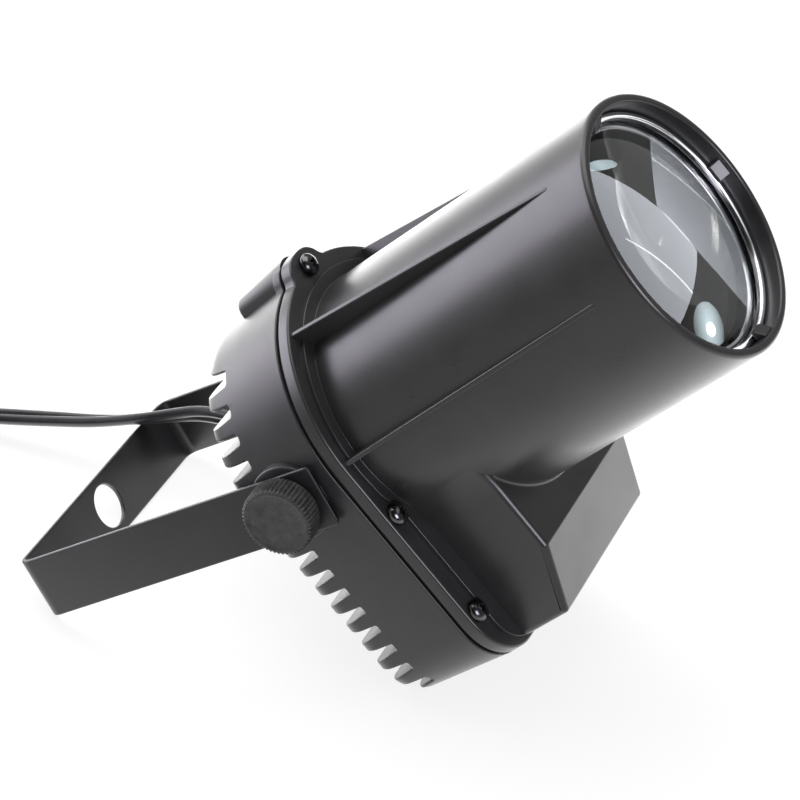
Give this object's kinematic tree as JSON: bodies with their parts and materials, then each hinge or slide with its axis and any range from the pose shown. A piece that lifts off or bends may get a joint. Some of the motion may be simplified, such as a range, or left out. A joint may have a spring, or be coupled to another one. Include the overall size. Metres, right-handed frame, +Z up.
{
  "type": "pinspot light",
  "caption": "Small narrow-beam LED stage spotlight: round barrel with lens, finned rear cover, tilting strap yoke with clamp knobs, and a flat supply lead.",
  "frame": {"origin": "middle of the lamp's footprint box on the table, at the table's surface, without the supply lead", "axes": "+Z up from the table, -Y the way the beam leans (it rises at 45 degrees towards -Y), +X across the yoke"},
  "size_m": [0.1224, 0.392, 0.1875],
  "materials": {
    "black_shell": "satin black moulding",
    "black_casting": "die casting with satin black paint",
    "seal": "matt black",
    "blackened_screw": "blackened, glossy",
    "lens_glass": "polished",
    "bright_ring": "polished",
    "bare_aluminium": "turned",
    "white_board": "white solder mask",
    "led_phosphor": "clear over yellow phosphor",
    "bright_steel": "zinc plated",
    "clear_acrylic": "polished acrylic",
    "black_holder": "matt",
    "green_board": "green solder mask",
    "yellow_tape": "tape",
    "capacitor_sleeve": "sleeve",
    "ferrite": "sleeve",
    "red_wire": "sleeve",
    "black_wire": "sleeve",
    "brass_insert": "machined",
    "gland_rubber": "matt black",
    "painted_steel": "satin black paint",
    "knob_plastic": "finely textured black",
    "lead_sheath": "satin black sheath",
    "tie_band": "woven band",
    "plug_plastic": "moulded black",
    "nickel_pin": "nickel plated"
  },
  "bodies": {
    "lamp_head": {"front_shell": "black_shell", "rear_cover": "black_casting", "seam_seal": "seal", "seam_screw_top": "blackened_screw", "seam_screw_upper_near": "blackened_screw", "seam_screw_lower_near": "blackened_screw", "seam_screw_upper_far": "blackened_screw", "seam_screw_lower_far": "blackened_screw", "lens": "lens_glass", "lens_ring": "bright_ring", "heat_block": "bare_aluminium", "led_board": "white_board", "led_emitter": "led_phosphor", "led_screw_near": "bright_steel", "led_screw_far": "bright_steel", "collimator": "clear_acrylic", "collimator_holder": "black_holder", "driver_board": "green_board", "driver_transformer": "yellow_tape", "driver_capacitor": "capacitor_sleeve", "driver_choke": "ferrite", "driver_screw_near": "bright_steel", "driver_screw_far": "bright_steel", "led_wire_positive": "red_wire", "led_wire_negative": "black_wire", "mains_wire_inside": "black_wire", "pivot_insert_near": "brass_insert", "pivot_insert_far": "brass_insert", "cord_gland": "gland_rubber", "cord_lead": "lead_sheath", "cord_coil": "lead_sheath", "coil_tie": "tie_band", "plug_body": "plug_plastic", "plug_pin_near": "nickel_pin", "plug_pin_far": "nickel_pin"},
    "yoke": {"yoke": "painted_steel"},
    "knob_near": {"knob_near": "knob_plastic", "knob_stud_near": "bright_steel"},
    "knob_far": {"knob_far": "knob_plastic", "knob_stud_far": "bright_steel"}
  },
  "joints": [
    {"name": "yoke_tilt", "type": "hinge", "parent": "lamp_head", "child": "yoke", "pos_m": [0, 0.02012, 0.06414], "axis": [1, 0, 0], "range_deg": [-155, 0]},
    {"name": "knob_near_turn", "type": "hinge", "parent": "lamp_head", "child": "knob_near", "pos_m": [0, 0.02012, 0.06414], "axis": [-1, 0, 0], "range_deg": [0, 360]},
    {"name": "knob_far_turn", "type": "hinge", "parent": "lamp_head", "child": "knob_far", "pos_m": [0, 0.02012, 0.06414], "axis": [1, 0, 0], "range_deg": [0, 360]}
  ]
}
